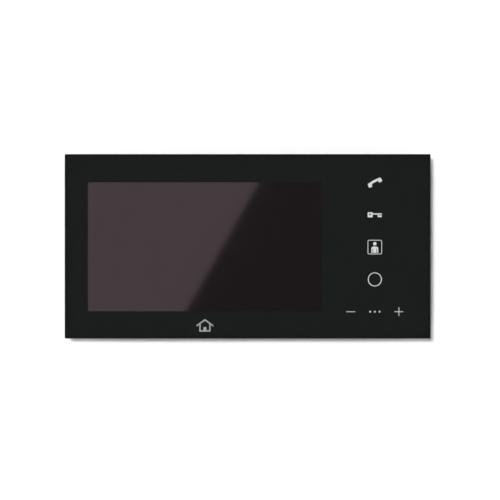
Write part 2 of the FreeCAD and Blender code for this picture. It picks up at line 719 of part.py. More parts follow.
def speaker_yoke():
    """Steel cup and top plate that close the magnetic circuit."""
    outside = [(6.7, 8.6), (9.5, 8.6), (9.5, 12.2), (0.0, 12.2)]
    inside = [(0.0, 11.2), (8.3, 11.2), (8.3, 9.8), (6.7, 9.8)]
    return turned(SPEAKER_X, SPEAKER_Z, outside + inside)


def speaker_magnet():
    return post(SPEAKER_X, SPEAKER_Z, 5.0, (9.8, 11.2))


def speaker_pole():
    return post(SPEAKER_X, SPEAKER_Z, 5.4, (8.8, 9.8))


def speaker_surround():
    """Rubber half-roll that lets the cone move."""
    roll = 14.9
    centre = at(SPEAKER_X, SPEAKER_Z, 5.95)
    outer, inner = (Part.makeTorus(roll, radius, centre, Vector(0, 1, 0)) for radius in (1.1, 0.9))
    wall_side = post(SPEAKER_X, SPEAKER_Z, SPEAKER_R, (4.0, 5.95))
    half = outer.cut(inner).common(wall_side)
    rim = tube(SPEAKER_X, SPEAKER_Z, 17.6, 15.85, (5.8, 6.0))
    return join([half, rim])


def speaker_cone():
    """Shallow paper cone with a domed dust cap."""
    profile = [(13.8, 5.9), (13.8, 6.15), (6.3, 7.85), (5.9, 7.85), (5.9, 7.6), (6.2, 7.55)]
    cone = turned(SPEAKER_X, SPEAKER_Z, profile)
    rise, base = 1.5, 7.6
    radius = (6.1**2 + rise**2) / (2 * rise)
    centre = at(SPEAKER_X, SPEAKER_Z, base - rise + radius)
    shell = Part.makeSphere(radius, centre).cut(Part.makeSphere(radius - 0.25, centre))
    cap = shell.common(post(SPEAKER_X, SPEAKER_Z, 6.1, (base - rise - 1, base + 0.2)))
    return join([cone, cap])


def voice_coil():
    return tube(SPEAKER_X, SPEAKER_Z, 6.2, 5.95, (7.85, 10.2))


def speaker_lead():
    """Twin lead from the speaker's tags to its socket on the board."""
    x, z = SPEAKER_SOCKET
    points = [
        at(SPEAKER_X - 13.6, SPEAKER_Z + 12.3, 8.4),
        at(SPEAKER_X - 23.0, SPEAKER_Z + 9.0, 8.4),
        at(65.5, -31.0, 7.4),
        at(59.0, -45.0, 6.8),
        at(48.0, -52.0, 6.8),
        at(x + 1.0, -51.0, 6.8),
        at(x, z - 2.4, 6.8),
    ]
    return round_lead(points, 1.8)


def upright(radius, bottom, height):
    """A cylinder along Z on the microphone's axis, starting that far above the bottom wall's inner face."""
    return Part.makeCylinder(radius, height, at(MIC_X, MIC_FLOOR + bottom, MIC_DEPTH), Vector(0, 0, 1))


def microphone():
    """Electret capsule that listens through the bottom wall."""
    return upright(3.0, 1.2, 2.4).cut(upright(0.6, 1.2, 0.4))


def microphone_boot():
    """Rubber cup that seals the capsule to the case."""
    capsule_space, lead_hole = upright(3.0, 1.2, 2.4), upright(2.3, 3.6, 1.0)
    sound_hole = upright(0.8, -0.1, 1.4)
    return upright(4.0, 0.0, 4.4).cut([capsule_space, lead_hole, sound_hole])


def microphone_lead():
    """Thin lead from the capsule to its socket on the board."""
    x, z = MIC_SOCKET
    top = MIC_FLOOR + 3.6
    points = [
        at(MIC_X, top, MIC_DEPTH),
        at(MIC_X, top + 7.4, MIC_DEPTH),
        at(-90.6, -38.6, 7.2),
        at(-82.0, -42.0, 6.8),
        at(-78.4, -49.4, 6.8),
        at(x - 0.4, -50.2, 6.8),
        at(x, z - 2.4, 6.8),
    ]
    return round_lead(points, 1.2)


# ------------------------------------------------------------------ rear cover
def cover_shell():
    """Rounded tray, sunk where the wall plate and the sound channel lie."""
    depth = (COVER_BACK, COVER_FRONT)
    x, z = span(0, COVER_W), span(0, COVER_H)
    outside = rounded(x, z, depth, COVER_CORNER)
    rear_rim = [e for e in outside.Edges if all(abs(v.Point.y + COVER_BACK) < 0.01 for v in e.Vertexes)]
    outside = outside.makeFillet(2.0, rear_rim)
    inside = rounded(grown(x, -WALL), grown(z, -WALL), (COVER_INNER, COVER_FRONT), COVER_CORNER - WALL)
    shell = outside.cut(inside)
    recess_back = block(grown(RECESS_X, WALL), grown(RECESS_Z, WALL), (COVER_INNER, RECESS_INNER))
    channel_x, channel_z = grown(CHANNEL_X, WALL), (MIC_FLOOR - 1, CHANNEL_Z[1] + WALL)
    channel_back = block(channel_x, channel_z, (COVER_INNER, CHANNEL_INNER))
    recess = rounded(RECESS_X, RECESS_Z, (COVER_BACK, RECESS_DEPTH), 3.0)
    channel = block(CHANNEL_X, CHANNEL_Z, (COVER_BACK, CHANNEL_DEPTH))
    return join([shell, recess_back, channel_back]).cut([recess, channel])


def wiring_bay():
    """The bay's four walls, from the sunk back to just short of the main board."""
    depth = (RECESS_INNER, BOARD[0] - 0.2)
    wall = 1.4
    return block(grown(BAY_X, wall), grown(BAY_Z, wall), depth).cut(block(BAY_X, BAY_Z, depth))


def case_boss(x, z):
    return post(x, z, COVER_BOSS_R, (COVER_INNER, BOSS_MEET))


def case_boss_bores():
    bores = [post(x, z, 2.4, (COVER_BACK, SCREW_SEAT)) for x, z in CASE_SCREWS]
    return bores + [post(x, z, 1.4, (SCREW_SEAT, BOSS_MEET)) for x, z in CASE_SCREWS]


def hook_slots():
    """Openings that pass over the plate's hooks when the monitor is raised."""
    depth = (RECESS_DEPTH, RECESS_INNER)
    return [block(span(x, 13.0), (z - LIFT - 2.0, z + 0.1), depth) for x, z in HOOKS]


def vents():
    """Rows of slots in the top and bottom walls, and two groups above the plate's recess."""
    cuts = []
    for x in row(SCREEN_X, 18, 4.6):
        for side in (-1, 1):
            cuts.append(block(span(x, 1.8), span(side * COVER_H / 2, 6.0), (5.0, 11.5)))
    for x in row(-25.4, 9, 5.2) + row(25.4, 9, 5.2):
        cuts.append(block(span(x, 2.0), (43.0, 48.0), (COVER_BACK, COVER_INNER)))
    return cuts


def speaker_grille():
    """Slots over the speaker, shorter towards the sides of its circle."""
    cuts = []
    width, reach, depth = 1.6, 12.6, (CHANNEL_DEPTH, CHANNEL_INNER)
    for aside in row(0, 7, 3.2):
        half = math.sqrt(reach**2 - aside**2)
        cuts.append(slot(SPEAKER_X + aside, SPEAKER_Z, width / 2, 2 * half, depth))
    return cuts


def speaker_ring():
    """Rib that locates the speaker's rim."""
    ring = tube(SPEAKER_X, SPEAKER_Z, SPEAKER_R + 1.4, SPEAKER_R + 0.2, (COVER_INNER, 8.0))
    lead_gap = block(span(SPEAKER_X - 16.0, 6.0), span(SPEAKER_Z + 11.5, 11.0), (7.0, 8.0))
    return ring.cut(lead_gap)


def microphone_cradle():
    """Ribs that hold the microphone's boot against the bottom wall."""
    cradle = block(span(MIC_X, 11.0), (MIC_FLOOR - 0.5, MIC_FLOOR + 3.6), (COVER_INNER, MIC_DEPTH))
    return cradle.cut(upright(4.05, 0.0, 5.0))


def rear_cover():
    """Moulded back of the case."""
    board_posts = [post(x, z, 3.0, (COVER_INNER, BOARD[0])) for x, z in BOARD_SCREWS]
    body = join(
        [cover_shell(), wiring_bay(), speaker_ring(), microphone_cradle(), *board_posts]
        + [case_boss(x, z) for x, z in CASE_SCREWS]
    )
    mic_port = upright(0.8, -WALL - 0.5, WALL + 1.0)
    label = rounded(span(LABEL_X, LABEL_W + 0.6), span(LABEL_Z, LABEL_H + 0.6), (COVER_BACK, 0.6), 1.5)
    pads = [post(x, z, 3.3, (COVER_BACK, 1.0)) for x, z in PADS]
    board_pilots = [post(x, z, 1.27, (BOARD[1] - 6.2, BOARD[0])) for x, z in BOARD_SCREWS]
    bay = block(BAY_X, BAY_Z, (RECESS_DEPTH, RECESS_INNER))
    cuts = [mic_port, label, bay, *pads, *board_pilots]
    return body.cut(cuts + case_boss_bores() + hook_slots() + vents() + speaker_grille())


def cover_screws():
    head_radius, head_height, shank_radius, length = 2.2, 1.7, 1.3, 8.4
    sizes = (head_radius, head_height, shank_radius, length)
    return group([screw(x, z, SCREW_SEAT, *sizes, inward=1) for x, z in CASE_SCREWS])


def wall_pads():
    """Soft pads that steady the case against the wall."""
    pads = []
    for x, z in PADS:
        pad = post(x, z, 3.2, (0.05, 1.0))
        rim = min((e for e in pad.Edges if e.Closed), key=lambda e: -e.CenterOfMass.y)
        pads.append(pad.makeFillet(0.3, [rim]))
    return group(pads)


def rating_label():
    """Blank polyester label in its shallow pocket."""
    return rounded(span(LABEL_X, LABEL_W), span(LABEL_Z, LABEL_H), (0.45, 0.6), 1.2)


# ------------------------------------------------------------------ wall plate
def wall_plate():
    """Pressed steel plate with a cable window and four hooks lanced out of the sheet."""
    depth = (0.0, PLATE_T)
    sheet = rounded(span(0, PLATE_W), span(0, PLATE_H), depth, 4.0)
    window = rounded(span(0, PLATE_WINDOW_W), span(0, PLATE_WINDOW_H), depth, 3.0)
    screw_places = [(x, z) for x in (-WALL_SCREW_X, WALL_SCREW_X) for z in (-WALL_SCREW_Z, WALL_SCREW_Z)]
    holes = [post(x, z, WALL_SCREW_R, depth) for x, z in screw_places]
    slots = [slot(0, z, BOX_SLOT_R, BOX_SLOT_LENGTH, depth) for z in (-BOX_SLOT_Z, BOX_SLOT_Z)]
    width, lip_height = 10.0, 6.0
    lip = (RECESS_INNER + 0.2, RECESS_INNER + 0.2 + PLATE_T)
    lanced = [block(span(x, width + 1.6), (z, z + lip_height + 4.6), depth) for x, z in HOOKS]
    hooks = []
    for x, z in HOOKS:
        neck = block(span(x, width), (z - PLATE_T, z), (0.0, lip[1]))
        upstand = block(span(x, width), (z - PLATE_T, z + lip_height), lip)
        crest = [e for e in upstand.Edges if abs(e.CenterOfMass.z - z - lip_height) < 0.01]
        crest = [e for e in crest if abs(e.tangentAt(e.FirstParameter).x) > 0.9]
        hooks += [neck, upstand.makeChamfer(0.5, crest)]
    return join([sheet.cut([window, *holes, *slots, *lanced]), *hooks])


# ------------------------------------------------------------------ output
NODES = [
    front_glass, glass_print, key_symbols, front_mark, glass_tape,
    lcd_bezel, lcd_polariser, lcd_cell, lcd_films, lcd_light_guide, lcd_reflector, lcd_led_bar, lcd_mould_frame,
    lcd_back_pan, lcd_flex, lcd_gasket, lcd_straps, strap_screws,
    front_frame, key_shroud, key_board, touch_springs, key_leds, key_board_chips, key_cable,
    main_board, board_chips, board_shield, board_capacitors, board_inductors, board_connectors, board_screws,
    terminal_header, header_pins, terminal_plug, terminal_clamps, terminal_screws,
    speaker_gasket, speaker_basket, speaker_yoke, speaker_magnet, speaker_pole, speaker_surround, speaker_cone,
    voice_coil, speaker_lead, microphone, microphone_boot, microphone_lead,
    rear_cover, cover_screws, wall_pads, rating_label, wall_plate,
]


def main():
    os.makedirs("parts", exist_ok=True)
    for maker in NODES:
        shape = maker()
        if not shape.Solids or not all(s.isValid() and s.Volume > 0 for s in shape.Solids):
            print("bad solid in", maker.__name__)
        shape.exportStep(f"parts/{maker.__name__}.step")


main()
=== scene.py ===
"""Looks, light and camera for the wall-mounted video intercom monitor.

Lengths are in metres, in the CAD frame: X to the right of a person facing the glass, Y into the wall, Z up.
"""

import math

import bmesh
import bpy
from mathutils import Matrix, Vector


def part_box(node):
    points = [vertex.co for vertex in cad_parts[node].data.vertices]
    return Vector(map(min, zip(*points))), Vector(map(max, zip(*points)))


MM = 0.001
WHITE = (1, 1, 1, 1)

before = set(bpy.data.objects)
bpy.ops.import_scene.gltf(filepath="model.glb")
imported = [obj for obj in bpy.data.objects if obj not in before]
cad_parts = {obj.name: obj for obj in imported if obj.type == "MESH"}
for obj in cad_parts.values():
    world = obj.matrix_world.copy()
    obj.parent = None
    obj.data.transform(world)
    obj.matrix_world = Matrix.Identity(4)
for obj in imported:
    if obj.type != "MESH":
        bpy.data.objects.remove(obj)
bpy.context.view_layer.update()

GLASS_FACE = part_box("front_glass")[0].y  # the low corner, as the glass faces -Y
FILM_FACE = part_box("lcd_polariser")[0].y


# ------------------------------------------------------------------ camera
LENS, SENSOR = 150 * MM, 36 * MM
VIEW_WIDTH = 330.6 * MM  # what the picture spans at the glass
CAMERA_X, CAMERA_Z = 1.55 * MM, -2.43 * MM  # off the middle of the glass
CLIP_START, CLIP_END = 0.01, 50.0


def make_camera():
    """A long lens, square on to the glass."""
    data = bpy.data.cameras.new("camera")
    data.lens, data.sensor_width = LENS / MM, SENSOR / MM
    data.clip_start, data.clip_end = CLIP_START, CLIP_END
    camera = bpy.data.objects.new("camera", data)
    distance = LENS * VIEW_WIDTH / SENSOR
    camera.location = (CAMERA_X, GLASS_FACE - distance, CAMERA_Z)
    camera.rotation_euler = (math.radians(90), 0, 0)
    bpy.context.scene.collection.objects.link(camera)
    bpy.context.scene.camera = camera
    return camera


camera = make_camera()


# ------------------------------------------------------------------ material helpers
NOISE_SPAN = (0.3, 0.7)  # where most of a noise's values lie
COLOUR_A, COLOUR_B, COLOUR_OUT = 6, 7, 2  # a Mix node's sockets for colours, among those for other data


class Look:
    """A material with one Principled shader, and short calls for the nodes that drive it."""

    def __init__(self, name):
        self.material = bpy.data.materials.new(name)
        self.material.use_nodes = True
        self.tree = self.material.node_tree
        self.tree.nodes.clear()
        self.out = self.add("OutputMaterial")
        self.shader = self.add("BsdfPrincipled")
        self.surface(self.shader.outputs[0])
        self.place = self.add("TexCoord").outputs["Object"]

    def add(self, kind):
        return self.tree.nodes.new("ShaderNode" + kind)

    def link(self, source, target):
        self.tree.links.new(source, target)

    def set(self, **values):
        """Plain values on the shader's own sockets, named with underscores."""
        for name, value in values.items():
            self.shader.inputs[name.replace("_", " ")].default_value = value

    def stretched(self, stretch):
        """The object's coordinates, multiplied along each axis. A larger number makes finer features."""
        mapping = self.add("Mapping")
        mapping.inputs["Scale"].default_value = stretch
        self.link(self.place, mapping.inputs["Vector"])
        return mapping.outputs[0]

    def noise(self, size, detail=3.0, stretch=(1, 1, 1), distortion=0.0):
        """Noise with features about that size."""
        node = self.add("TexNoise")
        node.inputs["Scale"].default_value = 1 / size
        node.inputs["Detail"].default_value = detail
        node.inputs["Distortion"].default_value = distortion
        self.link(self.stretched(stretch), node.inputs["Vector"])
        return node.outputs["Fac"]

    def cells(self, size, feature="F1", distance="EUCLIDEAN"):
        """Voronoi distances with cells about that size."""
        node = self.add("TexVoronoi")
        node.feature, node.distance = feature, distance
        node.inputs["Scale"].default_value = 1 / size
        self.link(self.place, node.inputs["Vector"])
        return node.outputs["Distance"]

    def remap(self, source, low, high, new_low, new_high):
        """The source, stretched from low..high to new_low..new_high and held within it."""
        node = self.add("MapRange")
        limits = {"From Min": low, "From Max": high, "To Min": new_low, "To Max": new_high}
        for name, value in limits.items():
            node.inputs[name].default_value = value
        self.link(source, node.inputs["Value"])
        return node.outputs["Result"]

    def maths(self, operation, *operands):
        """One Math node on one or two numbers or sockets."""
        node = self.add("Math")
        node.operation = operation
        for target, source in zip(node.inputs, operands):
            if isinstance(source, (int, float)):
                target.default_value = source
            else:
                self.link(source, target)
        return node.outputs[0]

    def blend(self, factor, a, b):
        """One colour turning into another as factor goes from 0 to 1. Each is a colour or a socket."""
        node = self.add("Mix")
        node.data_type = "RGBA"
        self.link(factor, node.inputs["Factor"])
        for index, source in ((COLOUR_A, a), (COLOUR_B, b)):
            if isinstance(source, tuple):
                node.inputs[index].default_value = (*source, 1)
            else:
                self.link(source, node.inputs[index])
        return node.outputs[COLOUR_OUT]

    def mix(self, factor, a, b):
        """One shader turning into another as factor goes from 0 to 1."""
        node = self.add("MixShader")
        for target, source in zip(node.inputs, (factor, a, b)):
            self.link(source, target)
        return node.outputs[0]

    def edges(self, radius, sharpness=3.0):
        """Near 1 at an edge, falling to 0 at that distance from it."""
        bevel = self.add("Bevel")
        bevel.samples = 4
        bevel.inputs["Radius"].default_value = radius
        flat = self.add("NewGeometry").outputs["Normal"]
        dot = self.add("VectorMath")
        dot.operation = "DOT_PRODUCT"
        self.link(bevel.outputs[0], dot.inputs[0])
        self.link(flat, dot.inputs[1])
        return self.maths("MULTIPLY", self.maths("SUBTRACT", 1.0, dot.outputs["Value"]), sharpness)

    def front(self):
        """1 on the side that the normals point to, and 0 on the other."""
        return self.maths("SUBTRACT", 1.0, self.add("NewGeometry").outputs["Backfacing"])

    def facing(self, axis):
        """How much the surface faces along an axis, either way, from 0 to 1."""
        split = self.add("SeparateXYZ")
        self.link(self.add("NewGeometry").outputs["Normal"], split.inputs[0])
        return self.maths("ABSOLUTE", split.outputs[axis])

    def colour(self, source):
        self.link(source, self.shader.inputs["Base Color"])

    def roughness(self, source, low, high, span=NOISE_SPAN):
        """From low to high as the source goes through its span."""
        self.link(self.remap(source, *span, low, high), self.shader.inputs["Roughness"])

    def bump(self, height, depth, strength):
        """Raises the surface by depth where height is 1."""
        node = self.add("Bump")
        node.inputs["Distance"].default_value = depth
        node.inputs["Strength"].default_value = strength
        self.link(height, node.inputs["Height"])
        self.link(node.outputs[0], self.shader.inputs["Normal"])

    def surface(self, source):
        """Makes that shader the one that shows."""
        self.link(source, self.out.inputs["Surface"])


def shades(base, spread):
    """A colour made darker, and made lighter, by that share of it."""
    return tuple(c * (1 - spread) for c in base), tuple(min(c * (1 + spread), 1.0) for c in base)


def varied(look, base, spread, size, rough, rough_spread):
    """Varies the roughness slowly over the surface, and returns a colour that varies with it."""
    slow = look.noise(size, detail=4.0)
    look.roughness(slow, rough - rough_spread, rough + rough_spread)
    return look.blend(look.remap(slow, *NOISE_SPAN, 0, 1), *shades(base, spread))


GRAIN_DEPTH, MARK_DEPTH = 0.02 * MM, 0.004 * MM  # on moulded plastic and on metal


def moulded(name, base, rough, wear, grain=0.25 * MM):
    """Injection-moulded plastic with a spark-eroded grain and edges rubbed a little paler."""
    look = Look(name)
    tone = varied(look, base, 0.12, 14 * MM, rough, 0.07)
    rubbed = look.maths("MULTIPLY", look.edges(0.5 * MM), look.remap(look.noise(5 * MM), 0.35, 0.65, 0, wear))
    paler = tuple(min(c * 1.8 + 0.03, 1.0) for c in base)
    look.colour(look.blend(rubbed, tone, paler))
    pits = look.maths("ADD", look.cells(grain), look.noise(grain * 2.2, detail=2.0))
    look.bump(pits, GRAIN_DEPTH, 0.6)
    look.set(Specular_IOR_Level=0.45)
    return look


def metal(name, base, rough, stretch=(1, 14, 14)):
    """Metal with a few scuffs and fine marks, which the stretch draws out into lines."""
    look = Look(name)
    tone = varied(look, base, 0.1, 9 * MM, rough, 0.09)
    marks = look.noise(1.2 * MM, detail=5.0, stretch=stretch)
    scuffs = look.remap(look.noise(3 * MM, detail=6.0, distortion=2.5), 0.62, 0.72, 0, 0.6)
    look.colour(look.blend(scuffs, tone, tuple(c * 0.72 for c in base)))
    look.bump(marks, MARK_DEPTH, 0.7)
    look.set(Metallic=1.0)
    return look


# ------------------------------------------------------------------ glass front
GLASS_TINT, GLASS_IOR = (0.985, 0.99, 0.988, 1), 1.45


def sheet_face(look):
    """Clear, and a mirror by angle on the side that faces out, with faint smears."""
    through = look.add("BsdfTransparent")
    through.inputs["Color"].default_value = GLASS_TINT
    mirror = look.add("BsdfGlossy")
    smears = look.noise(22 * MM, detail=5.0, distortion=1.5)
    look.link(look.remap(smears, 0.45, 0.75, 0.015, 0.075), mirror.inputs["Roughness"])
    fresnel = look.add("Fresnel")
    fresnel.inputs["IOR"].default_value = GLASS_IOR
    mirrored = look.maths("MULTIPLY", fresnel.outputs[0], look.front())
    return look.mix(mirrored, through.outputs[0], mirror.outputs[0])


def clear_glass():
    """Clear sheet with ground edges, which look dark green."""
    look = Look("clear_glass")
    ground = look.noise(0.4 * MM, detail=3.0)
    look.colour(look.blend(look.noise(6 * MM), (0.006, 0.012, 0.010), (0.010, 0.021, 0.017)))
    look.roughness(ground, 0.34, 0.5)
    look.bump(ground, 0.004 * MM, 0.5)
    look.set(Specular_IOR_Level=0.3)
    flat = look.remap(look.facing("Y"), 0.9, 0.95, 0, 1)
    look.surface(look.mix(flat, look.shader.outputs[0], sheet_face(look)))
    return look


def ink(name, base, mottle=0.05):
    """Screen-printed ink behind glass: even, with the faint mottle of the mesh it was pressed through."""
    look = Look(name)
    mesh = look.noise(0.35 * MM, detail=2.0)
    look.colour(look.blend(mesh, *shades(base, mottle)))
    look.roughness(mesh, 0.75, 0.9)
    look.bump(mesh, 0.003 * MM, 0.4)
    look.set(Specular_IOR_Level=0.1)
    return look


def black_ink():
    return ink("black_ink", (0.0064, 0.0072, 0.0068), mottle=0.04)


def white_ink():
    return ink("white_ink", (0.53, 0.53, 0.53), mottle=0.03)


def grey_ink():
    return ink("grey_ink", (0.3, 0.3, 0.3))


def polariser():
    """The display's hard-coated film: near black, with a faint warm mirror over its cells."""
    look = Look("polariser")
    cells = look.noise(0.8 * MM, detail=2.0)
    look.colour(look.blend(cells, (0.0040, 0.0024, 0.0028), (0.0048, 0.0030, 0.0034)))
    haze = look.noise(30 * MM, detail=3.0)
    look.roughness(haze, 0.04, 0.052)
    look.bump(cells, 0.0003 * MM, 0.3)
    look.set(Specular_IOR_Level=0.62, Specular_Tint=(1.0, 0.72, 0.81, 1.0))
    return look


# ------------------------------------------------------------------ foam, rubber, paper
def foam():
    """Closed-cell foam with open pores at its cut edges."""
    look = Look("foam")
    look.colour(varied(look, (0.02, 0.02, 0.021), 0.25, 4 * MM, 0.93, 0.04))
    look.bump(look.cells(0.5 * MM, "SMOOTH_F1"), 0.08 * MM, 0.8)
    look.set(Specular_IOR_Level=0.2)
    return look


def rubber():
    """Matt moulded rubber with a bloom on it."""
    look = Look("rubber")
    tone = varied(look, (0.022, 0.022, 0.023), 0.2, 5 * MM, 0.8, 0.08)
    bloom = look.remap(look.noise(2 * MM, detail=6.0), 0.5, 0.75, 0, 0.5)
    look.colour(look.blend(bloom, tone, (0.06, 0.06, 0.058)))
    look.bump(look.noise(0.3 * MM), 0.02 * MM, 0.6)
    return look


def wall_pad():
    """Soft grey pads, a little dusty from the wall."""
    look = Look("wall_pad")
    tone = varied(look, (0.075, 0.075, 0.078), 0.2, 3 * MM, 0.78, 0.08)
    dust = look.remap(look.noise(1.5 * MM, detail=6.0), 0.5, 0.8, 0, 0.6)
    look.colour(look.blend(dust, tone, (0.34, 0.33, 0.31)))
    look.bump(look.noise(0.4 * MM), 0.03 * MM, 0.7)
    return look


def blank_label():
    """Blank satin label with a slightly puckered face and dirty edges."""
    look = Look("blank_label")
    tone = varied(look, (0.56, 0.565, 0.57), 0.04, 12 * MM, 0.42, 0.06)
    grime = look.maths("MULTIPLY", look.edges(0.8 * MM, 4.0), look.noise(1.5 * MM))
    look.colour(look.blend(grime, tone, (0.3, 0.29, 0.27)))
    look.bump(look.noise(7 * MM, detail=2.0), 0.12 * MM, 0.35)
    return look


def paper_cone():
    """Pressed paper pulp, fibrous and dark."""
    look = Look("paper_cone")
    fibres = look.noise(0.7 * MM, detail=8.0, distortion=3.0)
    look.colour(look.blend(fibres, (0.025, 0.023, 0.021), (0.07, 0.064, 0.058)))
    look.roughness(fibres, 0.8, 0.95)
    look.bump(fibres, 0.06 * MM, 0.8)
    return look


# ------------------------------------------------------------------ plastics
def black_case():
    return moulded("black_case", (0.017, 0.017, 0.018), rough=0.5, wear=0.35)


def white_plastic():
    return moulded("white_plastic", (0.72, 0.72, 0.7), rough=0.42, wear=0.1)


def green_plastic():
    return moulded("green_plastic", (0.012, 0.2, 0.06), rough=0.45, grain=0.2 * MM, wear=0.3)


def socket_plastic():
    return moulded("socket_plastic", (0.68, 0.64, 0.52), rough=0.5, wear=0.1)


def chip_body():
    return moulded("chip_body", (0.018, 0.018, 0.02), rough=0.6, grain=0.12 * MM, wear=0.2)


def lead_sheath():
    """Thin PVC sheath with a fine grain and a slight gloss."""
    look = moulded("lead_sheath", (0.3, 0.012, 0.012), rough=0.4, grain=0.4 * MM, wear=0.1)
    look.set(Coat_Weight=0.1)
    return look


def white_cable():
    """Flat cable with its conductors showing as ribs."""
    look = Look("white_cable")
    ribs = look.noise(0.5 * MM, detail=0.0, stretch=(0.02, 0.02, 1))
    look.colour(look.blend(look.remap(ribs, 0.4, 0.6, 0, 1), (0.62, 0.62, 0.65), (0.8, 0.8, 0.82)))
    look.roughness(ribs, 0.3, 0.45)
    look.bump(ribs, 0.05 * MM, 0.7)
    return look


def flex_circuit():
    """Amber film with copper tracks running along it."""
    look = Look("flex_circuit")
    tracks = look.remap(look.noise(0.7 * MM, detail=1.0, stretch=(1, 0.03, 0.03)), 0.48, 0.52, 0, 1)
    look.colour(look.blend(tracks, (0.42, 0.16, 0.02), (0.6, 0.28, 0.06)))
    look.roughness(tracks, 0.35, 0.22, span=(0, 1))
    look.bump(tracks, 0.02 * MM, 0.5)
    return look


# ------------------------------------------------------------------ display stack
def dark_glass():
    """The display's bonded glass sheets, nearly black."""
    look = Look("dark_glass")
    look.colour(varied(look, (0.016, 0.016, 0.019), 0.2, 20 * MM, 0.06, 0.03))
    look.bump(look.noise(3 * MM), 0.001 * MM, 0.3)
    look.set(Coat_Weight=0.3, Coat_Roughness=0.05)
    return look


def pearly_film():
    """Diffusing films with a pearly sheen."""
    look = Look("pearly_film")
    look.colour(varied(look, (0.78, 0.79, 0.8), 0.04, 25 * MM, 0.35, 0.08))
    look.bump(look.noise(0.2 * MM, stretch=(1, 1, 0.05)), 0.01 * MM, 0.5)
    look.set(Sheen_Weight=0.2)
    return look


def acrylic():
    """Clear acrylic sheet printed with a field of dots on its back."""
    look = Look("acrylic")
    dots = look.remap(look.cells(1.1 * MM), 0.2, 0.3, 0, 1)
    look.colour(look.blend(dots, (0.9, 0.92, 0.93), (0.7, 0.74, 0.76)))
    look.roughness(look.noise(12 * MM), 0.08, 0.2)
    look.bump(dots, 0.01 * MM, 0.4)
    look.set(Transmission_Weight=0.4)
    return look


def led_body():
    """White LED bodies with a yellow phosphor."""
    look = Look("led_body")
    phosphor = look.remap(look.noise(0.9 * MM, detail=1.0), 0.4, 0.6, 0, 1)
    look.colour(look.blend(phosphor, (0.85, 0.84, 0.8), (0.82, 0.66, 0.16)))
    look.roughness(phosphor, 0.35, 0.5, span=(0, 1))
    look.bump(look.noise(0.2 * MM), 0.01 * MM, 0.5)
    return look


# ------------------------------------------------------------------ boards and metals
def solder_mask():
    """Green board with square-cornered tracks under the mask and a woven glass texture."""
    look = Look("solder_mask")
    squares = look.cells(9 * MM, distance="CHEBYCHEV")
    nested = look.maths("FRACT", look.maths("MULTIPLY", squares, 9.0))
    lines = look.remap(nested, 0.5, 0.56, 0, 1)
    tracks = look.maths("MULTIPLY", lines, look.remap(look.noise(11 * MM, detail=0.0), 0.42, 0.46, 0, 1))
    weave = look.noise(0.5 * MM, detail=1.0, stretch=(1, 1, 3))
    base = look.blend(look.remap(weave, *NOISE_SPAN, 0, 1), (0.006, 0.07, 0.026), (0.009, 0.09, 0.033))
    look.colour(look.blend(tracks, base, (0.02, 0.15, 0.05)))
    look.roughness(look.noise(8 * MM), 0.22, 0.36)
    look.bump(tracks, 0.03 * MM, 0.5)
    look.set(Coat_Weight=0.3, Coat_Roughness=0.15)
    return look


def zinc_plate():
    """Bright zinc-plated sheet: cool grey, faintly mottled, with rubbed edges and a dulled film."""
    look = Look("zinc_plate")
    tone = varied(look, (0.62, 0.635, 0.65), 0.03, 9 * MM, 0.42, 0.02)
    film = look.remap(look.noise(22 * MM, detail=6.0, distortion=1.2), 0.5, 0.75, 0, 0.3)
    dulled = look.blend(film, tone, (0.54, 0.555, 0.56))
    rubbed = look.maths("MULTIPLY", look.edges(0.6 * MM), look.remap(look.noise(4 * MM), 0.4, 0.6, 0.2, 1))
    look.colour(look.blend(rubbed, dulled, (0.72, 0.73, 0.74)))
    lines = look.noise(0.7 * MM, detail=5.0, stretch=(0.08, 1, 1))
    look.bump(lines, 0.006 * MM, 0.6)
    look.set(Metallic=1.0)
    return look


def tinned_steel():
    return metal("tinned_steel", (0.62, 0.62, 0.6), rough=0.3)


def display_steel():
    return metal("display_steel", (0.56, 0.56, 0.56), rough=0.32, stretch=(0.06, 1, 1))


def screw_steel():
    return metal("screw_steel", (0.55, 0.56, 0.57), rough=0.28, stretch=(1, 1, 1))


def black_screw():
    """Black-oxide screws, worn to bare steel at their edges."""
    look = Look("black_screw")
    tone = varied(look, (0.03, 0.03, 0.032), 0.2, 2 * MM, 0.4, 0.08)
    worn = look.maths("MULTIPLY", look.edges(0.2 * MM, 4.0), look.noise(0.8 * MM))
    look.colour(look.blend(worn, tone, (0.3, 0.3, 0.31)))
    look.bump(look.noise(0.3 * MM), 0.006 * MM, 0.6)
    look.set(Metallic=0.8)
    return look


def spring_wire():
    return metal("spring_wire", (0.62, 0.58, 0.5), rough=0.22, stretch=(1, 1, 1))


def nickel():
    return metal("nickel", (0.66, 0.63, 0.58), rough=0.25, stretch=(1, 1, 1))


def bright_can():
    return metal("bright_can", (0.62, 0.62, 0.64), rough=0.25, stretch=(1, 12, 1))


def magnet_steel():
    return metal("magnet_steel", (0.5, 0.5, 0.51), rough=0.3, stretch=(1, 12, 1))


def ferrite():
    """Dark pressed powder."""
    return moulded("ferrite", (0.035, 0.035, 0.037), rough=0.65, grain=0.3 * MM, wear=0.3)


def painted_steel():
    """Black paint over pressed steel, chipped at its edges."""
    look = moulded("painted_steel", (0.022, 0.022, 0.023), rough=0.38, grain=0.5 * MM, wear=0.8)
    look.set(Coat_Weight=0.2, Coat_Roughness=0.2)
    return look


def copper_winding():
    """Enamelled copper wire, turn beside turn."""
    look = Look("copper_winding")
    turns = look.noise(0.18 * MM, detail=0.0, stretch=(0.02, 1, 0.02))
    look.colour(look.blend(turns, (0.42, 0.13, 0.05), (0.66, 0.27, 0.12)))
    look.roughness(turns, 0.22, 0.38)
    look.bump(turns, 0.03 * MM, 0.8)
    look.set(Metallic=1.0)
    return look


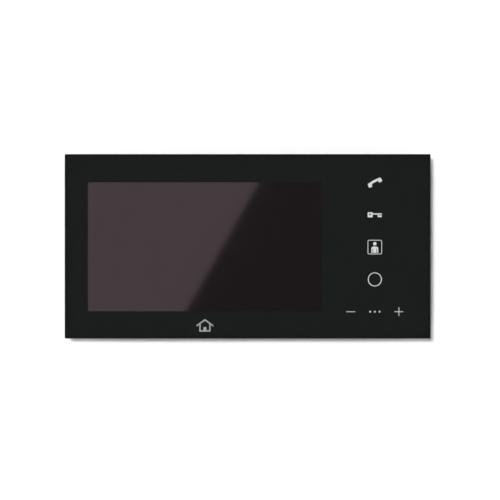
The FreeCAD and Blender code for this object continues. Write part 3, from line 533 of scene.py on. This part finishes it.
FINISHES = {
    clear_glass: ["front_glass"],
    black_ink: ["glass_print"],
    white_ink: ["key_symbols"],
    grey_ink: ["front_mark"],
    polariser: ["lcd_polariser"],
    foam: ["glass_tape", "lcd_gasket", "speaker_gasket"],
    rubber: ["speaker_surround", "microphone_boot"],
    wall_pad: ["wall_pads"],
    blank_label: ["rating_label"],
    paper_cone: ["speaker_cone"],
    black_case: ["front_frame", "rear_cover"],
    white_plastic: ["key_shroud", "lcd_mould_frame"],
    green_plastic: ["terminal_header", "terminal_plug"],
    socket_plastic: ["board_connectors"],
    chip_body: ["board_chips", "key_board_chips"],
    lead_sheath: ["speaker_lead", "microphone_lead"],
    white_cable: ["key_cable"],
    flex_circuit: ["lcd_flex"],
    dark_glass: ["lcd_cell"],
    pearly_film: ["lcd_films", "lcd_reflector"],
    acrylic: ["lcd_light_guide"],
    led_body: ["lcd_led_bar", "key_leds"],
    solder_mask: ["main_board", "key_board"],
    zinc_plate: ["wall_plate"],
    tinned_steel: ["board_shield", "lcd_straps", "header_pins"],
    display_steel: ["lcd_bezel", "lcd_back_pan"],
    screw_steel: ["board_screws", "strap_screws", "terminal_screws"],
    black_screw: ["cover_screws"],
    spring_wire: ["touch_springs"],
    nickel: ["terminal_clamps"],
    bright_can: ["board_capacitors", "microphone"],
    magnet_steel: ["speaker_yoke", "speaker_magnet", "speaker_pole"],
    ferrite: ["board_inductors"],
    painted_steel: ["speaker_basket"],
    copper_winding: ["voice_coil"],
}


def dress_nodes():
    """Gives every CAD node its finish."""
    for finish, names in FINISHES.items():
        material = finish().material
        for name in names:
            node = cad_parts[name]
            for slot in node.material_slots:
                slot.link = "OBJECT"
                slot.material = material
            if not node.material_slots:
                node.data.materials.append(material)


dress_nodes()


# ------------------------------------------------------------------ stage
WALL_GAP = 0.5 * MM  # behind the wall plate
WALL_HALF_WIDTH, WALL_TOP = 1.2, 1.2
WALL_PALE, FLOOR_PALE = (0.82, 0.82, 0.82, 1), (0.6, 0.6, 0.6, 1)
FLOOR_Z, FLOOR_HALF, FLOOR_GLOW = -0.5, 25.0, 0.8
FLAG_HALF_WIDTH, FLAG_HALF_HEIGHT, FLAG_BEHIND = 0.75, 0.6, 0.1
FLAG_TINT, FLAG_GLOW = (0.9, 1.0, 0.96, 1), 0.1


def sheet(name, corners):
    """A flat four-sided piece of the stage."""
    mesh = bpy.data.meshes.new(name)
    shape = bmesh.new()
    shape.faces.new([shape.verts.new(corner) for corner in corners])
    shape.to_mesh(mesh)
    shape.free()
    piece = bpy.data.objects.new(name, mesh)
    bpy.context.scene.collection.objects.link(piece)
    return piece


def wall_paint():
    """White paint on the side that faces the room.

    Only the camera sees it, so the lamps behind the wall light the back of the monitor.
    """
    look = Look("wall_paint")
    look.set(Roughness=0.9, Specular_IOR_Level=0.0, Base_Color=WALL_PALE)
    seen = look.maths("MULTIPLY", look.front(), look.add("LightPath").outputs["Is Camera Ray"])
    look.surface(look.mix(seen, look.add("BsdfTransparent").outputs[0], look.shader.outputs[0]))
    return look.material


def floor_paint():
    """Pale paint that stays pale in the distance, where the lamps don't reach."""
    look = Look("floor_paint")
    look.set(Roughness=0.8, Base_Color=FLOOR_PALE, Emission_Color=WHITE)
    glow = look.maths("MULTIPLY", look.add("LightPath").outputs["Is Camera Ray"], FLOOR_GLOW)
    look.link(glow, look.shader.inputs["Emission Strength"])
    return look.material


def flag_cloth():
    """A dim, even glow."""
    look = Look("flag_cloth")
    glow = look.add("Emission")
    glow.inputs["Color"].default_value = FLAG_TINT
    glow.inputs["Strength"].default_value = FLAG_GLOW
    look.surface(glow.outputs[0])
    return look.material


def make_wall():
    """The wall that the monitor hangs on."""
    w, y = WALL_HALF_WIDTH, WALL_GAP
    wall = sheet("wall", [(-w, y, FLOOR_Z), (w, y, FLOOR_Z), (w, y, WALL_TOP), (-w, y, WALL_TOP)])
    wall.data.materials.append(wall_paint())


def make_floor():
    """A floor far larger than any view, which reflections don't see."""
    h, z = FLOOR_HALF, FLOOR_Z
    floor = sheet("floor", [(-h, -h, z), (h, -h, z), (h, h, z), (-h, h, z)])
    floor.data.materials.append(floor_paint())
    floor.visible_glossy = False


def make_flag():
    """A dim flag behind the camera, which only reflections see."""
    w, h, y = FLAG_HALF_WIDTH, FLAG_HALF_HEIGHT, camera.location.y - FLAG_BEHIND
    flag = sheet("flag", [(-w, y, -h), (-w, y, h), (w, y, h), (w, y, -h)])
    flag.data.materials.append(flag_cloth())
    flag.visible_camera = flag.visible_diffuse = flag.visible_transmission = flag.visible_shadow = False


make_wall()
make_floor()
make_flag()


# ------------------------------------------------------------------ light
def lamp(name, place, size, watts, shape="RECTANGLE"):
    """An area lamp aimed at the monitor. size is its width and height."""
    data = bpy.data.lights.new(name, "AREA")
    data.shape = shape
    data.size, data.size_y = size
    data.energy = watts
    light = bpy.data.objects.new(name, data)
    light.location = place
    light.rotation_euler = (-Vector(place)).to_track_quat("-Z", "Y").to_euler()
    light.visible_camera = False
    bpy.context.scene.collection.objects.link(light)
    return light


KEY_PLACE, KEY_WIDTH, KEY_WATTS = (-0.38, -3.0, 0.35), 0.44, 88
SOFTBOXES = {  # place, width and height, watts
    "softbox_left": ((-2.2, -1.4, 0.8), (0.9, 1.4), 11),
    "softbox_right": ((2.2, -1.2, 0.6), (0.7, 1.4), 8),
    "softbox_back_left": ((-1.0, 1.5, 2.1), (1.0, 1.0), 48),
    "softbox_back_right": ((1.8, 1.5, 0.4), (0.8, 1.2), 22),
}


def make_key():
    """A small lamp near the camera's line, up and to the left, which throws the short shadow on the wall."""
    key = lamp("key", KEY_PLACE, (KEY_WIDTH, KEY_WIDTH), KEY_WATTS, "DISK")
    key.visible_glossy = False


def make_softboxes():
    """Broad lamps for the sides, the top and the back."""
    for name, (place, size, watts) in SOFTBOXES.items():
        lamp(name, place, size, watts)


SHEEN_DISTANCE, SHEEN_RADIANCE, SHEEN_SIZE = 1.0, 1.1, (0.6, 1.2)
SHEEN_FOOT, SHEEN_HEAD = (-40.8 * MM, -42.9 * MM), (7.1 * MM, 42.0 * MM)  # the bright patch's slanted edge


def make_screen_sheen():
    """A lamp that only the display's film mirrors, bright on the left of a slanted line across the screen."""
    reach = SHEEN_DISTANCE / (FILM_FACE - camera.location.y)

    def mirrored(point):
        x, z = point
        return Vector((x + (x - CAMERA_X) * reach, FILM_FACE - SHEEN_DISTANCE, z + (z - CAMERA_Z) * reach))

    foot, head = mirrored(SHEEN_FOOT), mirrored(SHEEN_HEAD)
    along = (head - foot).normalized()
    across = Vector((-along.z, 0, along.x))
    width, height = SHEEN_SIZE
    middle = (foot + head) / 2 + across * width / 2
    light = lamp("screen_sheen", middle, SHEEN_SIZE, SHEEN_RADIANCE * math.pi * width * height)
    lean = math.atan2(along.x, along.z)
    light.rotation_euler = (math.radians(90), lean, 0)
    receivers = bpy.data.collections.new("mirrors_the_sheen")
    receivers.objects.link(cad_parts["lcd_polariser"])
    light.light_linking.receiver_collection = receivers


WORLD_LIGHT = 0.18
WORLD_BY_RAY = {"Is Glossy Ray": 0.26, "Is Camera Ray": 1.0}


def make_world():
    """Even grey light from all round, a little brighter in reflections, and white to the camera."""
    world = bpy.data.worlds.new("studio")
    world.use_nodes = True
    bpy.context.scene.world = world
    tree = world.node_tree
    tree.nodes.clear()
    rays = tree.nodes.new("ShaderNodeLightPath")

    def background(strength):
        glow = tree.nodes.new("ShaderNodeBackground")
        glow.inputs["Color"].default_value = WHITE
        glow.inputs["Strength"].default_value = strength
        return glow.outputs[0]

    shown = background(WORLD_LIGHT)
    for ray, strength in WORLD_BY_RAY.items():
        mix = tree.nodes.new("ShaderNodeMixShader")
        tree.links.new(rays.outputs[ray], mix.inputs["Fac"])
        tree.links.new(shown, mix.inputs[1])
        tree.links.new(background(strength), mix.inputs[2])
        shown = mix.outputs[0]
    tree.links.new(shown, tree.nodes.new("ShaderNodeOutputWorld").inputs["Surface"])


make_key()
make_softboxes()
make_screen_sheen()
make_world()
bpy.context.scene.view_settings.view_transform = "Standard"
